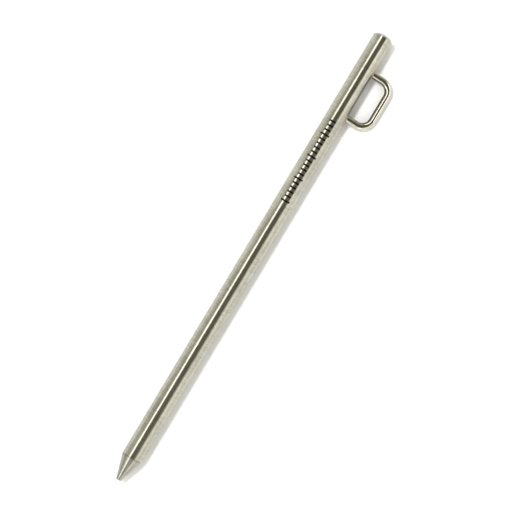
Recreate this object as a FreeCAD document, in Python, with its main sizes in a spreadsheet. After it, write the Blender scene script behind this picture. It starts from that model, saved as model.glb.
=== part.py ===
"""Round-bar tent stake with a welded wire loop for the guy rope.

The stake is a solid stainless bar. One end is turned to a blunt cone that goes into the ground, the other
end is a chamfered head for the hammer. A round wire, bent to a D, stands out of the side near the head. Its
two legs sit in blind sockets in the bar, and a small weld bead closes each socket.

Stake frame, in which every piece is drawn: the bar's axis is X, the point is at x = 0, the head is at
x = shaft_length, and the loop lies in the XY plane on the -Y side. Each body is then placed so that the
stake lies on the plane z = 0, on the bar and on the outer run of the loop: it is rolled about its own axis
until the loop touches. The origin is then the middle of the bounding box's base.
"""

import FreeCAD, Part

import math
import os

import Sketcher
from FreeCAD import Vector

# Driving dimensions in millimetres: alias, value, what it is.
DIMENSIONS = [
    ("shaft_length", "200", "bar, from the point's flat to the head's face"),
    ("shaft_diameter", "8", "bar"),
    ("point_length", "9.8", "turned cone"),
    ("point_flat", "2", "diameter of the flat that ends the cone"),
    ("point_round", "0.3", "rounding of the flat's edge"),
    ("head_chamfer", "0.8", "45 degree chamfer round the head's face"),
    ("wire_diameter", "3", "loop wire"),
    ("wire_end_chamfer", "0.3", "chamfer on each end of the wire"),
    ("loop_gap_width", "17.2", "clear width of the loop, between its legs"),
    ("loop_gap_height", "7.8", "clear height of the loop, from the bar to its outer run"),
    ("loop_inner_bend", "3.2", "radius inside each bend of the wire"),
    ("loop_setback", "14.9", "from the head's face to the axis of the nearer leg"),
    ("socket_depth", "2", "blind socket for a leg, below the bar's crest"),
    ("socket_clearance", "0.05", "between a leg and its socket, on the radius and at the end"),
    ("weld_leg", "0.6", "leg of the fillet weld round each foot of the loop"),
]

SHEET = "Dimensions"

# Names of the separate pieces.
SHAFT = "shaft"
LOOP = "rope_loop"
WELDS = ("weld_bead_head_side", "weld_bead_point_side")

TOLERANCE = 1e-4
FULL_TURN = 360
SKETCH_NORMAL = Vector(0, 0, 1)


def cell(name):
    """A driving dimension, as an expression names it."""
    return f"{SHEET}.{name}"


# What follows from the driving dimensions, as expressions.
SHAFT_RADIUS = f"{cell('shaft_diameter')} / 2"
WIRE_RADIUS = f"{cell('wire_diameter')} / 2"
SOCKET_RADIUS = f"{WIRE_RADIUS} + {cell('socket_clearance')}"
SOCKET_FLOOR = f"{SHAFT_RADIUS} - {cell('socket_depth')}"
LEG_END = f"{SOCKET_FLOOR} + {cell('socket_clearance')}"
LEG_SPACING = f"{cell('loop_gap_width')} + {cell('wire_diameter')}"
HEAD_LEG_X = f"{cell('shaft_length')} - {cell('loop_setback')}"
POINT_LEG_X = f"{HEAD_LEG_X} - ({LEG_SPACING})"
OUTER_RUN = f"{SHAFT_RADIUS} + {cell('loop_gap_height')} + {WIRE_RADIUS}"
BEND_RADIUS = f"{cell('loop_inner_bend')} + {WIRE_RADIUS}"
STRAIGHT_LEG = f"({OUTER_RUN}) - ({BEND_RADIUS}) - ({LEG_END})"
WIRE_LENGTH = f"2 * ({STRAIGHT_LEG}) + pi * ({BEND_RADIUS}) + ({LEG_SPACING}) - 2 * ({BEND_RADIUS})"
REST_ROLL = f"asin(({SHAFT_RADIUS} - {WIRE_RADIUS}) / ({OUTER_RUN}))"
LOOP_SIDE = f"({OUTER_RUN}) * cos({REST_ROLL}) + {WIRE_RADIUS}"
AXIS_Y = f"({LOOP_SIDE} - {SHAFT_RADIUS}) / 2"


def make_sheet(doc):
    """The spreadsheet of driving dimensions."""
    sheet = doc.addObject("Spreadsheet::Sheet", SHEET)
    for row, (alias, value, note) in enumerate(DIMENSIONS, start=1):
        sheet.set(f"A{row}", value)
        sheet.setAlias(f"A{row}", alias)
        sheet.set(f"B{row}", note)
    doc.recompute()
    return sheet


def value(doc, expression):
    """An expression's present value, in millimetres or degrees."""
    result = doc.getObject(SHEET).evalExpression(expression.replace(f"{SHEET}.", ""))
    return float(getattr(result, "Value", result))


def make_body(doc, name):
    """An empty body, rolled and placed so that the finished stake lies on z = 0."""
    body = doc.addObject("PartDesign::Body", name)
    body.Label = name
    body.Placement = FreeCAD.Placement(Vector(0, 0, 0), FreeCAD.Rotation(Vector(1, 0, 0), 1))
    body.setExpression("Placement.Rotation.Angle", REST_ROLL)
    body.setExpression("Placement.Base.x", f"-{cell('shaft_length')} / 2")
    body.setExpression("Placement.Base.y", AXIS_Y)
    body.setExpression("Placement.Base.z", SHAFT_RADIUS)
    return body


def make_sketch(body, name, plane, offset=None):
    """A sketch on one of the body's own origin planes, moved along the plane's normal by an expression."""
    sketch = body.newObject("Sketcher::SketchObject", name)
    support = next(f for f in body.Origin.OriginFeatures if f.Role == plane)
    sketch.AttachmentSupport = (support, [""])
    sketch.MapMode = "FlatFace"
    if offset:
        sketch.setExpression("AttachmentOffset.Base.z", offset)
    return sketch


def constrain(sketch, name, expression, kind, *refs):
    """A dimension of the sketch, bound to an expression."""
    index = sketch.addConstraint(Sketcher.Constraint(kind, *refs, value(sketch.Document, expression)))
    sketch.renameConstraint(index, name)
    sketch.setExpression(f"Constraints.{name}", expression)


def closed_outline(sketch, points):
    """Straight lines through the points and back to the first, joined at their ends."""
    corners = [Vector(x, y, 0) for x, y in points]
    for start, end in zip(corners, corners[1:] + corners[:1]):
        sketch.addGeometry(Part.LineSegment(start, end))
    count = len(corners)
    for line in range(count):
        sketch.addConstraint(Sketcher.Constraint("Coincident", line, 2, (line + 1) % count, 1))


def circle_on_axis(sketch, x, diameter):
    """A circle centred on the bar's axis line, at x from the point."""
    centre = Vector(value(sketch.Document, x), 0, 0)
    sketch.addGeometry(Part.Circle(centre, SKETCH_NORMAL, value(sketch.Document, diameter) / 2))
    sketch.addConstraint(Sketcher.Constraint("PointOnObject", 0, 3, -1))
    constrain(sketch, "along_bar", x, "DistanceX", -1, 1, 0, 3)
    constrain(sketch, "diameter", diameter, "Diameter", 0)


def revolve(body, kind, name, sketch):
    """The sketch turned a full circle about the bar's axis, as material or as a cut."""
    feature = body.newObject(kind, name)
    feature.Profile = sketch
    feature.ReferenceAxis = (sketch, ["H_Axis"])
    feature.Angle = FULL_TURN
    body.Document.recompute()
    return feature


def extrude(body, kind, name, sketch, length, reverse):
    """The sketch pushed along its normal, or against it, as material or as a cut."""
    feature = body.newObject(kind, name)
    feature.Profile = sketch
    feature.Reversed = reverse
    feature.setExpression("Length", length)
    body.Document.recompute()
    return feature


def require_less(before, after):
    """Stops the build if a cut took nothing away."""
    if after.Shape.Volume > before.Shape.Volume - TOLERANCE:
        raise RuntimeError(f"{after.Name} cut nothing")


def edges_where(feature, test):
    """Names of the feature's edges that pass the test."""
    return [f"Edge{n}" for n, edge in enumerate(feature.Shape.Edges, start=1) if test(edge)]


def is_circle(edge, radius, x):
    """Is the edge a circle of this radius round the bar's axis, at x?"""
    curve = edge.Curve
    if not isinstance(curve, Part.Circle):
        return False
    return abs(curve.Radius - radius) < TOLERANCE and abs(curve.Center.x - x) < TOLERANCE


def bar_outline(sketch):
    """Half section of the bar: the point's flat, the cone, the long side and the head's face."""
    sizes = (f"{cell('point_flat')} / 2", cell("point_length"), SHAFT_RADIUS, cell("shaft_length"))
    flat_radius, cone_length, radius, length = (value(sketch.Document, size) for size in sizes)
    closed_outline(sketch, [(0, 0), (0, flat_radius), (cone_length, radius), (length, radius), (length, 0)])
    flat, cone, side, face = range(4)
    sketch.addConstraint(Sketcher.Constraint("Coincident", flat, 1, -1, 1))
    sketch.addConstraint(Sketcher.Constraint("Vertical", flat))
    sketch.addConstraint(Sketcher.Constraint("Horizontal", side))
    sketch.addConstraint(Sketcher.Constraint("Vertical", face))
    sketch.addConstraint(Sketcher.Constraint("PointOnObject", face, 2, -1))
    constrain(sketch, "flat_radius", f"{cell('point_flat')} / 2", "DistanceY", -1, 1, flat, 2)
    constrain(sketch, "cone_length", cell("point_length"), "DistanceX", -1, 1, cone, 2)
    constrain(sketch, "bar_radius", SHAFT_RADIUS, "DistanceY", -1, 1, cone, 2)
    constrain(sketch, "bar_length", cell("shaft_length"), "DistanceX", -1, 1, side, 2)


def make_shaft(doc):
    """The bar, turned from one outline, with its edges broken and a socket for each leg of the loop."""
    body = make_body(doc, SHAFT)
    outline = make_sketch(body, "bar_outline", "XY_Plane")
    bar_outline(outline)
    bar = revolve(body, "PartDesign::Revolution", "turned_bar", outline)

    head = body.newObject("PartDesign::Chamfer", "head_chamfer_edge")
    length, radius = value(doc, cell("shaft_length")), value(doc, SHAFT_RADIUS)
    head.Base = (bar, edges_where(bar, lambda e: is_circle(e, radius, length)))
    head.setExpression("Size", cell("head_chamfer"))
    doc.recompute()

    point = body.newObject("PartDesign::Fillet", "point_round_edge")
    flat_radius = value(doc, f"{cell('point_flat')} / 2")
    point.Base = (head, edges_where(head, lambda e: is_circle(e, flat_radius, 0)))
    point.setExpression("Radius", cell("point_round"))
    doc.recompute()

    mouth = make_sketch(body, "socket_mouth", "XZ_Plane", SOCKET_FLOOR)
    circle_on_axis(mouth, POINT_LEG_X, f"2 * ({SOCKET_RADIUS})")
    socket = extrude(body, "PartDesign::Pocket", "leg_socket", mouth, cell("shaft_diameter"), True)
    pair = body.newObject("PartDesign::LinearPattern", "leg_sockets")
    pair.Originals = [socket]
    pair.Direction = (mouth, ["H_Axis"])
    pair.Occurrences = 2
    pair.setExpression("Length", LEG_SPACING)
    body.Tip = pair
    doc.recompute()
    require_less(point, socket)
    require_less(socket, pair)
    return body


def loop_path(sketch):
    """Centreline of the wire: leg, bend, outer run, bend, leg."""
    places = (POINT_LEG_X, HEAD_LEG_X, OUTER_RUN, BEND_RADIUS, LEG_END)
    near, far, reach, bend, end = (value(sketch.Document, place) for place in places)
    quarter = math.pi / 2
    near_centre = Vector(near + bend, bend - reach, 0)
    far_centre = Vector(far - bend, bend - reach, 0)
    near_circle = Part.Circle(near_centre, SKETCH_NORMAL, bend)
    far_circle = Part.Circle(far_centre, SKETCH_NORMAL, bend)
    for piece in (
        Part.LineSegment(Vector(near, -end, 0), Vector(near, bend - reach, 0)),
        Part.ArcOfCircle(near_circle, 2 * quarter, 3 * quarter),
        Part.LineSegment(Vector(near + bend, -reach, 0), Vector(far - bend, -reach, 0)),
        Part.ArcOfCircle(far_circle, 3 * quarter, 4 * quarter),
        Part.LineSegment(Vector(far, bend - reach, 0), Vector(far, -end, 0)),
    ):
        sketch.addGeometry(piece)
    near_leg, near_bend, run, far_bend, far_leg = range(5)
    for one, one_end, other, other_end in (
        (near_leg, 2, near_bend, 1),
        (near_bend, 2, run, 1),
        (run, 2, far_bend, 1),
        (far_bend, 2, far_leg, 1),
    ):
        sketch.addConstraint(Sketcher.Constraint("Tangent", one, one_end, other, other_end))
    sketch.addConstraint(Sketcher.Constraint("Vertical", near_leg))
    sketch.addConstraint(Sketcher.Constraint("Horizontal", run))
    sketch.addConstraint(Sketcher.Constraint("Vertical", far_leg))
    sketch.addConstraint(Sketcher.Constraint("Equal", near_bend, far_bend))
    sketch.addConstraint(Sketcher.Constraint("Equal", near_leg, far_leg))
    constrain(sketch, "near_leg_x", POINT_LEG_X, "DistanceX", -1, 1, near_leg, 1)
    constrain(sketch, "leg_spacing", LEG_SPACING, "DistanceX", near_leg, 1, far_leg, 2)
    constrain(sketch, "leg_end", LEG_END, "DistanceY", near_leg, 1, -1, 1)
    constrain(sketch, "outer_run", OUTER_RUN, "DistanceY", run, 1, -1, 1)
    constrain(sketch, "bend_radius", BEND_RADIUS, "Radius", near_bend)


def make_loop(doc):
    """The rope loop: round wire swept along the D, with both cut ends chamfered."""
    body = make_body(doc, LOOP)
    path = make_sketch(body, "loop_path", "XY_Plane")
    loop_path(path)
    section = make_sketch(body, "wire_section", "XZ_Plane", LEG_END)
    circle_on_axis(section, POINT_LEG_X, cell("wire_diameter"))
    doc.recompute()

    wire = body.newObject("PartDesign::AdditivePipe", "bent_wire")
    wire.Profile = section
    wire.Spine = (path, [f"Edge{n}" for n in range(1, len(path.Shape.Edges) + 1)])
    doc.recompute()
    swept = math.pi * value(doc, WIRE_RADIUS) ** 2 * value(doc, WIRE_LENGTH)
    if abs(wire.Shape.Volume - swept) > TOLERANCE * swept:
        raise RuntimeError("the wire's volume isn't its section times its length")

    ends = body.newObject("PartDesign::Chamfer", "wire_end_edges")
    end_y = -value(doc, LEG_END)

    def at_an_end(edge):
        return all(abs(vertex.Point.y - end_y) < TOLERANCE for vertex in edge.Vertexes)

    ends.Base = (wire, edges_where(wire, at_an_end))
    ends.setExpression("Size", cell("wire_end_chamfer"))
    doc.recompute()
    return body


def short_bar_outline(sketch, leg_x):
    """Half section of a short length of the bar, centred on one leg and long enough to carry its weld."""
    half = cell("shaft_diameter")
    centre, reach, radius_now = (value(sketch.Document, size) for size in (leg_x, half, SHAFT_RADIUS))
    low, high = centre - reach, centre + reach
    closed_outline(sketch, [(low, 0), (low, radius_now), (high, radius_now), (high, 0)])
    start, top, end, base = range(4)
    for line, kind in ((start, "Vertical"), (top, "Horizontal"), (end, "Vertical")):
        sketch.addConstraint(Sketcher.Constraint(kind, line))
    sketch.addConstraint(Sketcher.Constraint("PointOnObject", start, 1, -1))
    sketch.addConstraint(Sketcher.Constraint("PointOnObject", base, 1, -1))
    constrain(sketch, "from_x", f"{leg_x} - {half}", "DistanceX", -1, 1, start, 1)
    constrain(sketch, "length", f"2 * {half}", "DistanceX", start, 1, base, 1)
    constrain(sketch, "radius", SHAFT_RADIUS, "DistanceY", start, 1, start, 2)


def make_weld(doc, name, leg_x):
    """A fillet weld: bar and leg joined, the corner between them filled, then bar and leg taken away."""
    body = make_body(doc, name)
    leg_length = f"{SHAFT_RADIUS} + {cell('wire_diameter')}"

    bar_sketch = make_sketch(body, f"{name}_bar_outline", "XY_Plane")
    short_bar_outline(bar_sketch, leg_x)
    revolve(body, "PartDesign::Revolution", f"{name}_bar", bar_sketch)
    leg_sketch = make_sketch(body, f"{name}_leg_section", "XZ_Plane")
    circle_on_axis(leg_sketch, leg_x, cell("wire_diameter"))
    leg = extrude(body, "PartDesign::Pad", f"{name}_leg", leg_sketch, leg_length, False)

    corner = body.newObject("PartDesign::Chamfer", f"{name}_corner")
    centre, wire_radius = value(doc, leg_x), value(doc, WIRE_RADIUS)
    radius = value(doc, SHAFT_RADIUS)

    def where_leg_meets_bar(edge):
        points = edge.discretize(5)
        on_leg = all(abs(Vector(p.x - centre, 0, p.z).Length - wire_radius) < TOLERANCE for p in points)
        return on_leg and all(abs(Vector(0, p.y, p.z).Length - radius) < TOLERANCE for p in points)

    corner.Base = (leg, edges_where(leg, where_leg_meets_bar))
    corner.setExpression("Size", cell("weld_leg"))
    doc.recompute()

    bar_cut = make_sketch(body, f"{name}_bar_cut_outline", "XY_Plane")
    short_bar_outline(bar_cut, leg_x)
    without_bar = revolve(body, "PartDesign::Groove", f"{name}_bar_cut", bar_cut)
    leg_cut = make_sketch(body, f"{name}_leg_cut_section", "XZ_Plane")
    circle_on_axis(leg_cut, leg_x, cell("wire_diameter"))
    without_leg = extrude(body, "PartDesign::Pocket", f"{name}_leg_cut", leg_cut, leg_length, True)
    require_less(corner, without_bar)
    require_less(without_bar, without_leg)
    return body


def check(doc, bodies):
    """Stops the build if any object failed or any sub-part is not one valid solid."""
    for obj in doc.Objects:
        if "Invalid" in obj.State or "Error" in obj.State:
            raise RuntimeError(f"{obj.Name} failed: {obj.State}")
    for body in bodies:
        shape = body.Shape
        if shape.isNull() or not shape.isValid() or len(shape.Solids) != 1:
            raise RuntimeError(f"{body.Label} is not one valid solid")


def main():
    doc = FreeCAD.newDocument("tent_stake")
    make_sheet(doc)
    bodies = [make_shaft(doc), make_loop(doc)]
    bodies += [make_weld(doc, name, x) for name, x in zip(WELDS, (HEAD_LEG_X, POINT_LEG_X))]
    doc.recompute()
    check(doc, bodies)
    os.makedirs("parts", exist_ok=True)
    for body in bodies:
        body.Shape.exportStep(f"parts/{body.Label}.step")
        box = body.Shape.BoundBox
        print(f"{body.Label}: {body.Shape.Volume:.3f} mm3,", *(f"{v:.3f}" for v in (
            box.XMin, box.XMax, box.YMin, box.YMax, box.ZMin, box.ZMax)))


main()
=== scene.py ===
import math
import random

import bpy
from mathutils import Matrix, Vector


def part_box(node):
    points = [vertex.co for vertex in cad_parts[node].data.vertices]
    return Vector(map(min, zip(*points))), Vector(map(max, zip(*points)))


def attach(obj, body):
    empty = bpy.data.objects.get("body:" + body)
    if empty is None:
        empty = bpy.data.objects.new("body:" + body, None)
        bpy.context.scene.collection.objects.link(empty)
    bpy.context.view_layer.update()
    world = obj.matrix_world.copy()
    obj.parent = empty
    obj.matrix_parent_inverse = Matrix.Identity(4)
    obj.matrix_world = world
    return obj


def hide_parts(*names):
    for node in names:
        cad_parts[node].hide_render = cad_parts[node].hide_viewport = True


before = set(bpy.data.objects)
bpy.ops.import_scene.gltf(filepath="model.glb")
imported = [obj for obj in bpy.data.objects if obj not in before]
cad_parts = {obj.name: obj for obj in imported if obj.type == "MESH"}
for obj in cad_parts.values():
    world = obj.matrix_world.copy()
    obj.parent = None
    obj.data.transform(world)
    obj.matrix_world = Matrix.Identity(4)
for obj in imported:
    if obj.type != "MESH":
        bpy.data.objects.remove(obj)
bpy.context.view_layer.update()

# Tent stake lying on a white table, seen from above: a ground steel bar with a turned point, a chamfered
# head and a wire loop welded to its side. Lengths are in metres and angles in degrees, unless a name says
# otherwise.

MM = 0.001
ALONG_BAR = Vector((1, 0, 0))

# A whole turn and a quarter of one, in radians.
FULL_TURN = 2 * math.pi
QUARTER_TURN = math.pi / 2

# The bar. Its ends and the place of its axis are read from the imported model.
bar_low, bar_high = (Vector(corner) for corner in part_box("shaft"))
BAR_RADIUS = 4 * MM
BAR_AXIS = Vector((0, (bar_low.y + bar_high.y) / 2, BAR_RADIUS))
POINT_X, HEAD_X = bar_low.x, bar_high.x
CONE_LENGTH = 9.8 * MM
POINT_FLAT_RADIUS = 1 * MM
POINT_ROUND = 0.3 * MM
HEAD_CHAMFER = 0.8 * MM

# The loop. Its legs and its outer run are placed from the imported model. The bend's radius is the one at
# the wire's middle, and LOOP_OUT points from the bar's axis to the outer run.
loop_low, loop_high = (Vector(corner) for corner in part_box("rope_loop"))
WIRE_RADIUS = 1.5 * MM
WIRE_BEND_RADIUS = 4.7 * MM
LEG_XS = (loop_low.x + WIRE_RADIUS, loop_high.x - WIRE_RADIUS)
RUN_CENTRE = Vector((0, loop_low.y + WIRE_RADIUS, WIRE_RADIUS))
LOOP_REACH = (RUN_CENTRE - BAR_AXIS).length
LOOP_OUT = (RUN_CENTRE - BAR_AXIS).normalized()
LOOP_NORMAL = ALONG_BAR.cross(LOOP_OUT).normalized()

# The legs end this far inside the bar, where nothing shows.
LEG_IN_BAR = 1.9 * MM


def in_loop_plane(x, out):
    """Point at x along the bar and out from its axis, towards the loop's outer run."""
    return Vector((x, BAR_AXIS.y, BAR_AXIS.z)) + LOOP_OUT * out


# ---------------------------------------------------------------- meshes

def mesh_object(name, points, faces, uvs):
    """A smooth mesh object with one UV per face corner."""
    mesh = bpy.data.meshes.new(name)
    mesh.from_pydata([tuple(point) for point in points], [], faces)
    layer = mesh.uv_layers.new(name="surface")
    for loop, uv in zip(layer.data, uvs):
        loop.uv = uv
    mesh.shade_smooth()
    mesh.validate()
    obj = bpy.data.objects.new(name, mesh)
    bpy.context.scene.collection.objects.link(obj)
    return obj


def tube_of_rings(name, rings, lengths, closed_path=False):
    """Rings of points joined into a tube with flat ends, or back into itself on a closed path.

    U runs once from 0 to 1 round each ring, and V along the tube in metres.
    """
    count = len(rings[0])
    points = [point for ring in rings for point in ring]
    faces, uvs = [], []
    spans = len(rings) if closed_path else len(rings) - 1
    for row in range(spans):
        here, there = row * count, ((row + 1) % len(rings)) * count
        low_v, high_v = lengths[row], lengths[row + 1]
        for column in range(count):
            after = (column + 1) % count
            faces.append((here + column, here + after, there + after, there + column))
            low_u, high_u = column / count, (column + 1) / count
            uvs += [(low_u, low_v), (high_u, low_v), (high_u, high_v), (low_u, high_v)]
    if not closed_path:
        last = (len(rings) - 1) * count
        for base, ring, length, flip in ((0, rings[0], lengths[0], True),
                                         (last, rings[-1], lengths[-1], False)):
            centre = len(points)
            points.append(sum(ring, Vector()) / count)
            for column in range(count):
                after = (column + 1) % count
                corner = (base + column, base + after, centre)
                faces.append(corner[::-1] if flip else corner)
                uvs += [(column / count, length)] * 3
    return mesh_object(name, points, faces, uvs)


ARC_STEPS = 5
FLAT_SUPPORT = 0.04 * MM


def rounded_profile(corners):
    """An outline through (x, radius, rounding) corners, with arcs at the roundings.

    A point close to each side of every arc keeps the flats beside it flat when the mesh is shaded smooth.
    """
    places = [Vector((x, radius)) for x, radius, _ in corners]
    outline = [places[0]]
    for index in range(1, len(corners) - 1):
        corner, rounding = places[index], corners[index][2]
        back = (places[index - 1] - corner).normalized()
        ahead = (places[index + 1] - corner).normalized()
        half = back.angle(ahead) / 2
        reach = rounding / math.tan(half)
        centre = corner + (back + ahead).normalized() * (rounding / math.sin(half))
        start, end = corner + back * reach, corner + ahead * reach
        outline.append(start + back * FLAT_SUPPORT)
        for step in range(ARC_STEPS + 1):
            chord = start.lerp(end, step / ARC_STEPS) - centre
            outline.append(centre + chord.normalized() * rounding)
        outline.append(end + ahead * FLAT_SUPPORT)
    outline.append(places[-1])
    return outline


BAR_SEGMENTS = 256
BROKEN_EDGE = 0.08 * MM
AXIS_RING_RADIUS = 0.02 * MM


def make_bar():
    """The bar turned from its outline, which runs from the middle of one end face to that of the other."""
    outline = rounded_profile([
        (POINT_X, AXIS_RING_RADIUS, 0),
        (POINT_X, POINT_FLAT_RADIUS, POINT_ROUND),
        (POINT_X + CONE_LENGTH, BAR_RADIUS, BROKEN_EDGE),
        (HEAD_X - HEAD_CHAMFER, BAR_RADIUS, BROKEN_EDGE),
        (HEAD_X, BAR_RADIUS - HEAD_CHAMFER, BROKEN_EDGE),
        (HEAD_X, AXIS_RING_RADIUS, 0),
    ])
    lengths = [0.0]
    for before, after in zip(outline, outline[1:]):
        lengths.append(lengths[-1] + (after - before).length)
    rings = []
    for x, radius in outline:
        ring = []
        for step in range(BAR_SEGMENTS):
            angle = -FULL_TURN * step / BAR_SEGMENTS
            y = BAR_AXIS.y + radius * math.sin(angle)
            z = BAR_AXIS.z + radius * math.cos(angle)
            ring.append(Vector((x, y, z)))
        rings.append(ring)
    return tube_of_rings("bar", rings, lengths)


WIRE_SEGMENTS = 64
LEG_STEPS, BEND_STEPS, RUN_STEPS = 24, 28, 30


def loop_path():
    """Centreline of the wire from one leg's end to the other's, as (point, direction) pairs."""
    start = BAR_RADIUS - LEG_IN_BAR
    bend_start = LOOP_REACH - WIRE_BEND_RADIUS
    low_x, high_x = LEG_XS
    path = []
    for step in range(LEG_STEPS):
        out = start + (bend_start - start) * step / LEG_STEPS
        path.append((in_loop_plane(low_x, out), LOOP_OUT))
    for step in range(BEND_STEPS):
        turn = QUARTER_TURN * step / BEND_STEPS
        x = low_x + WIRE_BEND_RADIUS * (1 - math.cos(turn))
        out = bend_start + WIRE_BEND_RADIUS * math.sin(turn)
        path.append((in_loop_plane(x, out), LOOP_OUT * math.cos(turn) + ALONG_BAR * math.sin(turn)))
    run_start, run_end = low_x + WIRE_BEND_RADIUS, high_x - WIRE_BEND_RADIUS
    for step in range(RUN_STEPS):
        x = run_start + (run_end - run_start) * step / RUN_STEPS
        path.append((in_loop_plane(x, LOOP_REACH), ALONG_BAR))
    for step in range(BEND_STEPS):
        turn = QUARTER_TURN * step / BEND_STEPS
        x = run_end + WIRE_BEND_RADIUS * math.sin(turn)
        out = bend_start + WIRE_BEND_RADIUS * math.cos(turn)
        path.append((in_loop_plane(x, out), ALONG_BAR * math.cos(turn) - LOOP_OUT * math.sin(turn)))
    for step in range(LEG_STEPS + 1):
        out = bend_start + (start - bend_start) * step / LEG_STEPS
        path.append((in_loop_plane(high_x, out), -LOOP_OUT))
    return path


def make_loop():
    """The wire swept along the loop's path. Each ring of points starts on the side towards the eye."""
    path = loop_path()
    lengths, rings = [0.0], []
    for (before, _), (after, _) in zip(path, path[1:]):
        lengths.append(lengths[-1] + (after - before).length)
    for place, direction in path:
        inward = direction.cross(LOOP_NORMAL)
        ring = []
        for step in range(WIRE_SEGMENTS):
            angle = FULL_TURN * step / WIRE_SEGMENTS
            ring.append(place + (inward * math.cos(angle) + LOOP_NORMAL * math.sin(angle)) * WIRE_RADIUS)
        rings.append(ring)
    return tube_of_rings("wire_loop", rings, lengths)


WELD_LEG = 0.4 * MM
WELD_STEPS = 96
WELD_SECTION_STEPS = 12
LUMPS_ROUND_WELD = (2, 3, 5, 9, 16)
LUMP_SIZE_LOW, LUMP_SIZE_HIGH = 0.02, 0.07

# As shares of the bead's leg: how far its skin bulges, and how high its hidden root stands.
WELD_BULGE = 0.12
ROOT_HEIGHT = 0.9

# How far the bead's skin and its hidden root reach into the wire and the bar, so that no gap shows.
SKIN_IN_WIRE, SKIN_IN_BAR = 0.05 * MM, 0.03 * MM
ROOT_IN_WIRE, ROOT_IN_BAR = 0.12 * MM, 0.15 * MM


def make_weld(name, leg_x, seed):
    """A small fillet bead between bar and wire, round one foot of the loop: a ring of lumpy sections."""
    dice = random.Random(seed)
    waves = [(count, dice.uniform(0, FULL_TURN), dice.uniform(LUMP_SIZE_LOW, LUMP_SIZE_HIGH))
             for count in LUMPS_ROUND_WELD]

    def on_bar(angle, radius, lift):
        """Point above the bar's surface, at an angle round the leg's axis and a radius from it."""
        x_off, side_off = radius * math.cos(angle), radius * math.sin(angle)
        out = math.sqrt(max(BAR_RADIUS ** 2 - side_off ** 2, 0)) + lift
        return in_loop_plane(leg_x + x_off, out) - LOOP_NORMAL * side_off

    rings = []
    for step in range(WELD_STEPS):
        angle = FULL_TURN * step / WELD_STEPS
        lump = 1 + sum(size * math.sin(count * angle + phase) for count, phase, size in waves)
        leg = WELD_LEG * lump
        section = []
        for part in range(WELD_SECTION_STEPS + 1):
            turn = QUARTER_TURN * part / WELD_SECTION_STEPS
            bulge = leg * WELD_BULGE * math.sin(2 * turn)
            away = leg * (1 - math.sin(turn)) + bulge
            up = leg * (1 - math.cos(turn)) + bulge
            section.append(on_bar(angle, WIRE_RADIUS - SKIN_IN_WIRE + away, up - SKIN_IN_BAR))
        root = WIRE_RADIUS - ROOT_IN_WIRE
        section.append(on_bar(angle, root, leg * ROOT_HEIGHT))
        section.append(on_bar(angle, root, -ROOT_IN_BAR))
        section.append(on_bar(angle, root + leg, -ROOT_IN_BAR))
        rings.append(section[::-1])
    lengths = [FULL_TURN * WIRE_RADIUS * step / WELD_STEPS for step in range(WELD_STEPS + 1)]
    return tube_of_rings(name, rings, lengths, closed_path=True)


# ---------------------------------------------------------------- materials

class Tree:
    """A short way to write a node tree. A call that adds a node for others returns its output socket."""

    def __init__(self, owner):
        owner.use_nodes = True
        self.tree = owner.node_tree
        self.tree.nodes.clear()

    def add(self, kind, inputs, output=0, **settings):
        """A node of this kind. Each input is linked if it is a socket, and set if it is a value."""
        node = self.tree.nodes.new(kind)
        for key, value in settings.items():
            setattr(node, key, value)
        for key, value in inputs.items():
            self.feed(node.inputs[key], value)
        return node.outputs[output] if node.outputs else node

    def feed(self, socket, value):
        """Links or sets one input."""
        if isinstance(value, bpy.types.NodeSocket):
            self.tree.links.new(value, socket)
        else:
            socket.default_value = value

    def math(self, operation, a, b=0.0):
        return self.add("ShaderNodeMath", {0: a, 1: b}, operation=operation)

    def vector(self, operation, a, b, output=0):
        return self.add("ShaderNodeVectorMath", {0: a, 1: b}, output, operation=operation)

    def split(self, vector):
        """The vector's three parts."""
        return self.add("ShaderNodeSeparateXYZ", {"Vector": vector}).node.outputs

    def noise(self, place, scale, detail=2.0, roughness=0.5):
        return self.add("ShaderNodeTexNoise", {"Vector": place, "Scale": scale, "Detail": detail,
                                               "Roughness": roughness})

    def span(self, value, low, high, to_low=0.0, to_high=1.0, smooth=False):
        """Value mapped from low..high to to_low..to_high, and held beyond them. Low may be above high."""
        kind = "SMOOTHSTEP" if smooth else "LINEAR"
        return self.add("ShaderNodeMapRange", {"Value": value, "From Min": low, "From Max": high,
                                               "To Min": to_low, "To Max": to_high}, interpolation_type=kind)

    def mix(self, factor, a, b, blend="MIX"):
        """Two colours mixed. The node's inputs 0, 6 and 7 and its output 2 are those of its colour form."""
        node = self.tree.nodes.new("ShaderNodeMix")
        node.data_type = "RGBA"
        node.blend_type = blend
        for index, value in ((0, factor), (6, a), (7, b)):
            self.feed(node.inputs[index], value)
        return node.outputs[2]

    def place(self):
        """Position on the object, in metres."""
        return self.add("ShaderNodeTexCoord", {}, "Object")

    def bump(self, height, strength, distance):
        return self.add("ShaderNodeBump", {"Height": height, "Strength": strength, "Distance": distance})

    def surface(self, **inputs):
        named = {key.replace("_", " "): value for key, value in inputs.items()}
        shader = self.add("ShaderNodeBsdfPrincipled", named)
        self.add("ShaderNodeOutputMaterial", {"Surface": shader})


STEEL = (0.505, 0.492, 0.412, 1)
STEEL_DARK = (0.335, 0.326, 0.270, 1)
WIRE_BRIGHT = (0.610, 0.590, 0.520, 1)
# Dark colour painted as reflections of shade: on the bar where it faces the loop, and on the wire's inner
# side.
PAINTED_REFLECTION_DARK = (0.08, 0.073, 0.055, 1)
TURNED = (0.79, 0.79, 0.80, 1)
EDGE_DARK = (0.20, 0.17, 0.13, 1)
STRAW = (0.52, 0.42, 0.26, 1)
BROWN = (0.30, 0.23, 0.15, 1)
ETCHED = (0.018, 0.016, 0.012, 1)
BEAD_BROWN = (0.24, 0.21, 0.15, 1)
BEAD_GREY = (0.42, 0.39, 0.32, 1)

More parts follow.
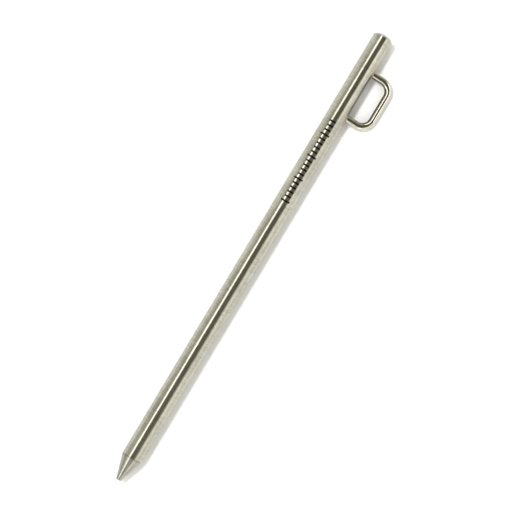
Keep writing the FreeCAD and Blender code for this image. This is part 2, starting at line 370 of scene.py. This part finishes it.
# Heat tint round each foot: where its outer edge starts, where it is full, and how strong it is there.
FEET = [in_loop_plane(x, BAR_RADIUS) for x in LEG_XS]
STRAW_START, STRAW_FULL, STRAW_STRENGTH = 6.0 * MM, 1.9 * MM, 0.28
BROWN_START, BROWN_FULL, BROWN_STRENGTH = 2.3 * MM, 1.5 * MM, 0.30
TINT_EDGE_SCALE, TINT_EDGE_WANDER = 900.0, 1.6 * MM
NOISE_MIDDLE = 0.5


def heat_tint(tree, place, color):
    """Straw and brown oxide round both feet of the loop, laid over color."""
    uneven = tree.math("SUBTRACT", tree.noise(place, TINT_EDGE_SCALE, detail=3.0), NOISE_MIDDLE)
    wander = tree.math("MULTIPLY", uneven, TINT_EDGE_WANDER)
    for foot in FEET:
        away = tree.math("ADD", tree.vector("DISTANCE", place, tuple(foot), "Value"), wander)
        straw = tree.span(away, STRAW_START, STRAW_FULL, 0.0, STRAW_STRENGTH, smooth=True)
        brown = tree.span(away, BROWN_START, BROWN_FULL, 0.0, BROWN_STRENGTH, smooth=True)
        color = tree.mix(straw, color, STRAW)
        color = tree.mix(brown, color, BROWN)
    return color


# The painted dark reflection of the loop lies where the surface reaches this far out from the bar's axis,
# towards the loop.
LOOP_REFLECTION_START, LOOP_REFLECTION_FULL, LOOP_REFLECTION_STRENGTH = 0.66 * BAR_RADIUS, 0.80 * BAR_RADIUS, 0.80
LOOP_REFLECTION_FADE = 2 * MM
EYE_MIDDLE_X = (LEG_XS[0] + LEG_XS[1]) / 2
EYE_HALF_LENGTH = (LEG_XS[1] - LEG_XS[0]) / 2


def painted_loop_reflection(tree, centred, x, color):
    """Painted reflection of the loop's dark wire and the shaded floor, laid over color as a dark strip where
    the bar faces the loop's eye.
    """
    towards_loop = tree.vector("DOT_PRODUCT", centred, tuple(LOOP_OUT), "Value")
    facing = tree.span(towards_loop, LOOP_REFLECTION_START, LOOP_REFLECTION_FULL, 0.0, LOOP_REFLECTION_STRENGTH)
    from_middle = tree.math("ABSOLUTE", tree.math("SUBTRACT", x, EYE_MIDDLE_X))
    between_legs = tree.span(from_middle, EYE_HALF_LENGTH, EYE_HALF_LENGTH - LOOP_REFLECTION_FADE, smooth=True)
    return tree.mix(tree.math("MULTIPLY", facing, between_legs), color, PAINTED_REFLECTION_DARK)


SCALE_START = HEAD_X - 75.5 * MM
SCALE_END = SCALE_START + 36 * MM
SCALE_CENTRE_RADIANS = math.radians(2)
TICK_PITCH = 2 * MM
TICK_WIDTH = 0.7 * MM
TICK_HALF_HEIGHT = 1.35 * MM
LONG_TICK_HALF_HEIGHT = 2.0 * MM
TICKS_TO_LONG = 5
TICK_SIDE_BLUR = 0.15
TICK_END_BLUR = 0.04 * MM


def tick_scale(tree, x, arc):
    """1 on the etched scale: cross lines at an even pitch on a stretch of the bar, every fifth one long."""
    def lines(pitch, half_height):
        place = tree.math("DIVIDE", tree.math("SUBTRACT", x, SCALE_START), pitch)
        off = tree.math("ABSOLUTE", tree.math("SUBTRACT", place, tree.math("ROUND", place)))
        half_width = TICK_WIDTH / 2 / pitch
        thin = tree.span(off, half_width * (1 + TICK_SIDE_BLUR), half_width * (1 - TICK_SIDE_BLUR))
        height = tree.math("ABSOLUTE", arc)
        tall = tree.span(height, half_height + TICK_END_BLUR, half_height - TICK_END_BLUR)
        return tree.math("MULTIPLY", thin, tall)

    short = lines(TICK_PITCH, TICK_HALF_HEIGHT)
    long = lines(TICK_PITCH * TICKS_TO_LONG, LONG_TICK_HALF_HEIGHT)
    after = tree.math("GREATER_THAN", x, SCALE_START - TICK_WIDTH)
    before = tree.math("LESS_THAN", x, SCALE_END + TICK_WIDTH)
    return tree.math("MULTIPLY", tree.math("MAXIMUM", short, long), tree.math("MULTIPLY", after, before))


# Grinding lines: stretched round the bar, and in patches that are long along it. Scales are per metre.
ROUND_THE_BAR = (1, 0.15, 0.15)
PATCHES_ALONG = (0.35, 1, 1)
FINE_SCALE, COARSE_SCALE, PATCHY_SCALE = 5200.0, 1500.0, 260.0
FINE_SHARE, COARSE_SHARE, PATCHY_SHARE = 0.45, 0.35, 0.35
TONE_DARK, TONE_BRIGHT = 0.45, 0.68
CONE_EDGE_BLUR = 0.1 * MM

# Dark lines at the cone's two ends: place, half width, strength. EDGE_LINE_CORE is the share of its half
# width over which a line is at full strength. Beyond that it fades out.
EDGE_LINES = ((POINT_X + CONE_LENGTH, 0.35 * MM, 0.75), (POINT_X, 0.7 * MM, 0.6))
EDGE_LINE_CORE = 1 / 3

ROUGHNESS_TONE_DARK, ROUGHNESS_TONE_BRIGHT = 0.3, 0.85
BAR_ROUGHNESS_DARK, BAR_ROUGHNESS_BRIGHT = 0.32, 0.26
ETCHED_ROUGHER = 0.35
ETCHED_DEPTH = -1.5
BAR_BUMP, BAR_BUMP_DEPTH = 0.25, 0.012 * MM

# How far highlights are stretched, and the turn that lays them along the bar, in whole turns.
BAR_STRETCH, BAR_STRETCH_TURN = 0.9, 0.25


def ground_steel():
    """Bar: centreless-ground steel, fine lines round it, so a highlight is sharp across and long along it."""
    material = bpy.data.materials.new("ground_steel")
    tree = Tree(material)
    place = tree.place()
    centred = tree.vector("SUBTRACT", place, tuple(BAR_AXIS))
    x, y, z = tree.split(centred)
    lines = tree.vector("MULTIPLY", centred, ROUND_THE_BAR)
    fine = tree.noise(lines, FINE_SCALE, detail=3.0, roughness=0.7)
    coarse = tree.noise(lines, COARSE_SCALE, detail=2.0, roughness=0.6)
    patches = tree.vector("MULTIPLY", centred, PATCHES_ALONG)
    patchy = tree.noise(patches, PATCHY_SCALE, detail=3.0, roughness=0.6)
    tone = tree.math("MULTIPLY", fine, FINE_SHARE)
    tone = tree.math("ADD", tone, tree.math("MULTIPLY", coarse, COARSE_SHARE))
    tone = tree.math("ADD", tone, tree.math("MULTIPLY", patchy, PATCHY_SHARE))
    color = tree.mix(tree.span(tone, TONE_DARK, TONE_BRIGHT), STEEL_DARK, STEEL)
    cone_end = POINT_X + CONE_LENGTH
    on_point = tree.span(x, cone_end + CONE_EDGE_BLUR, cone_end - CONE_EDGE_BLUR)
    color = tree.mix(on_point, color, TURNED, "MULTIPLY")
    for edge_x, half_width, strength in EDGE_LINES:
        off = tree.math("ABSOLUTE", tree.math("SUBTRACT", x, edge_x))
        line = tree.span(off, half_width, half_width * EDGE_LINE_CORE, 0.0, strength)
        color = tree.mix(line, color, EDGE_DARK)
    color = heat_tint(tree, place, color)
    # Painted dark reflection of the loop's wire and the shaded floor, on the bar between the loop's feet.
    color = painted_loop_reflection(tree, centred, x, color)

    angle = tree.math("ARCTAN2", y, z)
    arc = tree.math("MULTIPLY", tree.math("SUBTRACT", angle, SCALE_CENTRE_RADIANS), BAR_RADIUS)
    etched = tick_scale(tree, x, arc)
    color = tree.mix(etched, color, ETCHED)

    rough = tree.span(tone, ROUGHNESS_TONE_DARK, ROUGHNESS_TONE_BRIGHT,
                      BAR_ROUGHNESS_DARK, BAR_ROUGHNESS_BRIGHT)
    rough = tree.math("ADD", rough, tree.math("MULTIPLY", etched, ETCHED_ROUGHER))
    height = tree.math("ADD", fine, tree.math("MULTIPLY", etched, ETCHED_DEPTH))
    round_bar = tree.add("ShaderNodeTangent", {}, direction_type="UV_MAP", uv_map="surface")
    bump = tree.bump(height, BAR_BUMP, BAR_BUMP_DEPTH)
    tree.surface(Base_Color=color, Metallic=1.0, Roughness=rough, Anisotropic=BAR_STRETCH,
                 Anisotropic_Rotation=BAR_STRETCH_TURN, Tangent=round_bar, Normal=bump)
    return material


# Painted dark reflection of shade on the wire's inner side, by the cosine of the angle from straight inward.
WIRE_INNER_REFLECTION_START, WIRE_INNER_REFLECTION_FULL, WIRE_INNER_REFLECTION_STRENGTH = 0.70, 0.82, 0.85
LINES_ALONG_WIRE = (60, 90, 1)
WIRE_PATCHY_SCALE = 700.0
WIRE_FINE_SHARE, WIRE_PATCHY_SHARE = 0.5, 0.5
WIRE_TONE_DARK, WIRE_TONE_BRIGHT = 0.3, 0.7
WIRE_ROUGHNESS_DARK, WIRE_ROUGHNESS_BRIGHT = 0.14, 0.09
WIRE_BUMP, WIRE_BUMP_DEPTH = 0.15, 0.02 * MM


def drawn_wire():
    """Loop: bright drawn wire, with faint lines along it and a painted dark reflection of shade on its inner
    side.
    """
    material = bpy.data.materials.new("drawn_wire")
    tree = Tree(material)
    along = tree.add("ShaderNodeUVMap", {}, uv_map="surface")
    fine = tree.noise(tree.vector("MULTIPLY", along, LINES_ALONG_WIRE), 1.0, detail=3.0, roughness=0.6)
    patchy = tree.noise(tree.place(), WIRE_PATCHY_SCALE, detail=3.0, roughness=0.6)
    tone = tree.math("MULTIPLY", fine, WIRE_FINE_SHARE)
    tone = tree.math("ADD", tone, tree.math("MULTIPLY", patchy, WIRE_PATCHY_SHARE))
    color = tree.mix(tree.span(tone, WIRE_TONE_DARK, WIRE_TONE_BRIGHT), STEEL, WIRE_BRIGHT)
    round_wire = tree.split(along)[0]
    inward = tree.math("COSINE", tree.math("MULTIPLY", round_wire, FULL_TURN))
    # Painted reflection: the inner side, facing the bar, darkened as if mirroring the bar's shaded side and
    # the shadowed floor.
    inner_reflection = tree.span(inward, WIRE_INNER_REFLECTION_START, WIRE_INNER_REFLECTION_FULL, 0.0, WIRE_INNER_REFLECTION_STRENGTH)
    color = tree.mix(inner_reflection, color, PAINTED_REFLECTION_DARK)
    rough = tree.span(tone, WIRE_TONE_DARK, WIRE_TONE_BRIGHT, WIRE_ROUGHNESS_DARK, WIRE_ROUGHNESS_BRIGHT)
    bump = tree.bump(tone, WIRE_BUMP, WIRE_BUMP_DEPTH)
    tree.surface(Base_Color=color, Metallic=1.0, Roughness=rough, Normal=bump)
    return material


RIPPLES_ROUND_WELD = (2, 5200, 1)
BEAD_PATCHY_SCALE = 1800.0
BEAD_TONE_BROWN, BEAD_TONE_GREY = 0.35, 0.65
BEAD_TONE_ROUGH, BEAD_TONE_SMOOTH = 0.3, 0.7
BEAD_ROUGH, BEAD_SMOOTH = 0.45, 0.3
BEAD_BUMP, BEAD_BUMP_DEPTH = 0.6, 0.05 * MM


def weld_steel():
    """Weld bead: rippled, dull, brown to grey."""
    material = bpy.data.materials.new("weld_steel")
    tree = Tree(material)
    along = tree.add("ShaderNodeUVMap", {}, uv_map="surface")
    ripple = tree.noise(tree.vector("MULTIPLY", along, RIPPLES_ROUND_WELD), 1.0)
    patchy = tree.noise(tree.place(), BEAD_PATCHY_SCALE, detail=3.0, roughness=0.6)
    color = tree.mix(tree.span(patchy, BEAD_TONE_BROWN, BEAD_TONE_GREY), BEAD_BROWN, BEAD_GREY)
    rough = tree.span(patchy, BEAD_TONE_ROUGH, BEAD_TONE_SMOOTH, BEAD_ROUGH, BEAD_SMOOTH)
    bump = tree.bump(ripple, BEAD_BUMP, BEAD_BUMP_DEPTH)
    tree.surface(Base_Color=color, Metallic=1.0, Roughness=rough, Normal=bump)
    return material


TABLE_DIMMER = (0.90, 0.90, 0.89, 1)
TABLE_BRIGHTER = (0.93, 0.93, 0.92, 1)
TABLE_CLOUD_SCALE = 3.0
TABLE_ROUGHNESS = 0.7
GLOW_COLOR = (1, 1, 0.99, 1)
GLOW_START, GLOW_FULL, GLOW_STRENGTH = 0.35, 1.3, 0.62


def table_white():
    """Matt white table top. Far from the stake, where the lamps fade, it glows, so that it stays white."""
    material = bpy.data.materials.new("table_white")
    tree = Tree(material)
    place = tree.place()
    color = tree.mix(tree.noise(place, TABLE_CLOUD_SCALE), TABLE_DIMMER, TABLE_BRIGHTER)
    away = tree.vector("DISTANCE", place, (0, 0, 0), "Value")
    glow = tree.span(away, GLOW_START, GLOW_FULL, 0.0, GLOW_STRENGTH, smooth=True)
    tree.surface(Base_Color=color, Roughness=TABLE_ROUGHNESS, Emission_Color=GLOW_COLOR,
                 Emission_Strength=glow)
    return material


# ---------------------------------------------------------------- the object

def build_object():
    """Each piece with its material, the record's material slot and the CAD node that it stands for."""
    point_leg_x, head_leg_x = LEG_XS
    pieces = (
        (make_bar(), ground_steel(), "shaft_steel", "shaft"),
        (make_loop(), drawn_wire(), "loop_steel", "rope_loop"),
        (make_weld("weld_head_side", head_leg_x, seed=3), weld_steel(),
         "weld_steel", "weld_bead_head_side"),
        (make_weld("weld_point_side", point_leg_x, seed=8), weld_steel(),
         "weld_steel", "weld_bead_point_side"),
    )
    for piece, material, slot, node in pieces:
        piece.data.materials.append(material)
        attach(piece, "root")
        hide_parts(node)


# ---------------------------------------------------------------- the studio

FLOOR_HALF = 3.0


def add_floor():
    """The table top, which isn't part of the object."""
    half = FLOOR_HALF
    corners = [(-half, -half, 0), (half, -half, 0), (half, half, 0), (-half, half, 0)]
    floor = mesh_object("floor", corners, [(0, 1, 2, 3)], [(0, 0), (1, 0), (1, 1), (0, 1)])
    floor.data.materials.append(table_white())


# Soft boxes round the table: name, side, lean, across, along, radiance, whether the steel mirrors it.
# side is the angle from straight up towards +Y and lean from straight up towards +X. across and along are
# the angles that the box covers those two ways, as seen from the bar.
SOFT_BOXES = (
    ("key", 24.2, 0, 14, 110, 3.6, True),
    ("left_high", 42, 0, 12, 110, 0.60, True),
    ("left_low", 61, 0, 24, 110, 0.54, True),
    ("left_head", 74, 36, 14, 30, 0.90, True),
    ("right_high", -57, 0, 26, 110, 1.28, True),
    ("right_head", -43, 36, 14, 30, 2.10, True),
    ("right_low", -76, 0, 14, 110, 1.05, True),
    ("point_high", 0, -40, 70, 16, 0.58, True),
    ("point_low", 0, -63, 80, 30, 1.20, True),
    ("head_end", 0, 62, 70, 30, 0.33, True),
    ("table_fill", -30, 0, 20, 40, 1.0, False),
)
BOX_DISTANCE = 0.9

# A wide sun that lights the table and isn't mirrored by the steel. SUN_SIDE is measured as side is above.
SUN_SIDE = 27
SUN_STRENGTH = 1.35
SUN_ANGLE = 9

# The room: a dark ceiling and pale walls, which meet between two heights of the direction looked in, from
# 0 level to 1 straight up.
CEILING = (0.135, 0.124, 0.084, 1)
WALLS = (0.74, 0.74, 0.72, 1)
CEILING_ABOVE, WALLS_BELOW = 0.30, 0.10


def add_soft_box(name, side, lean, across, along, radiance, mirrored):
    """A rectangular lamp that faces the bar."""
    width, length = (2 * BOX_DISTANCE * math.tan(math.radians(angle) / 2) for angle in (across, along))
    light = bpy.data.lights.new(name, "AREA")
    light.shape = "RECTANGLE"
    light.size, light.size_y = length, width
    light.energy = math.pi * length * width * radiance
    lamp = bpy.data.objects.new(name, light)
    away = Vector((math.tan(math.radians(lean)), math.tan(math.radians(side)), 1)).normalized()
    row = (ALONG_BAR - away * away.x).normalized()
    facing = Matrix((row, away.cross(row), away)).transposed().to_4x4()
    lamp.matrix_world = Matrix.Translation(BAR_AXIS + away * BOX_DISTANCE) @ facing
    lamp.visible_camera = False
    lamp.visible_glossy = mirrored
    bpy.context.scene.collection.objects.link(lamp)


def add_sun():
    """A sun that is wide enough to cast a soft shadow."""
    sun = bpy.data.lights.new("sun", "SUN")
    sun.energy = SUN_STRENGTH
    sun.angle = math.radians(SUN_ANGLE)
    lamp = bpy.data.objects.new("sun", sun)
    lamp.rotation_euler = (-math.radians(SUN_SIDE), 0, 0)
    lamp.visible_glossy = False
    bpy.context.scene.collection.objects.link(lamp)


def add_room():
    """The world behind the lamps."""
    world = bpy.data.worlds.new("studio")
    tree = Tree(world)
    direction = tree.add("ShaderNodeTexCoord", {}, "Generated")
    height = tree.split(direction)[2]
    color = tree.mix(tree.span(height, CEILING_ABOVE, WALLS_BELOW, smooth=True), CEILING, WALLS)
    light = tree.add("ShaderNodeBackground", {"Color": color, "Strength": 1.0})
    tree.add("ShaderNodeOutputWorld", {"Surface": light})
    bpy.context.scene.world = world


CAMERA_PLACE = Vector((-50.9, 5.0, 702.8)) * MM
CAMERA_TARGET = Vector((0.7, 4.1, 4.0)) * MM
CAMERA_ROLL = 59.06
CAMERA_LENS_MM = 127.53
CAMERA_SENSOR_MM = 36


def add_camera():
    """A long lens above the table, rolled so that the stake runs up to the right."""
    data = bpy.data.cameras.new("camera")
    data.sensor_width = CAMERA_SENSOR_MM
    data.lens = CAMERA_LENS_MM
    camera = bpy.data.objects.new("camera", data)
    back = (CAMERA_PLACE - CAMERA_TARGET).normalized()
    right = (ALONG_BAR - back * back.x).normalized()
    up = back.cross(right)
    level = Matrix((right, up, back)).transposed().to_4x4()
    roll = Matrix.Rotation(-math.radians(CAMERA_ROLL), 4, "Z")
    camera.matrix_world = Matrix.Translation(CAMERA_PLACE) @ level @ roll
    bpy.context.scene.collection.objects.link(camera)
    bpy.context.scene.camera = camera


build_object()
add_floor()
for soft_box in SOFT_BOXES:
    add_soft_box(*soft_box)
add_sun()
add_room()
add_camera()
bpy.context.scene.view_settings.view_transform = "Standard"
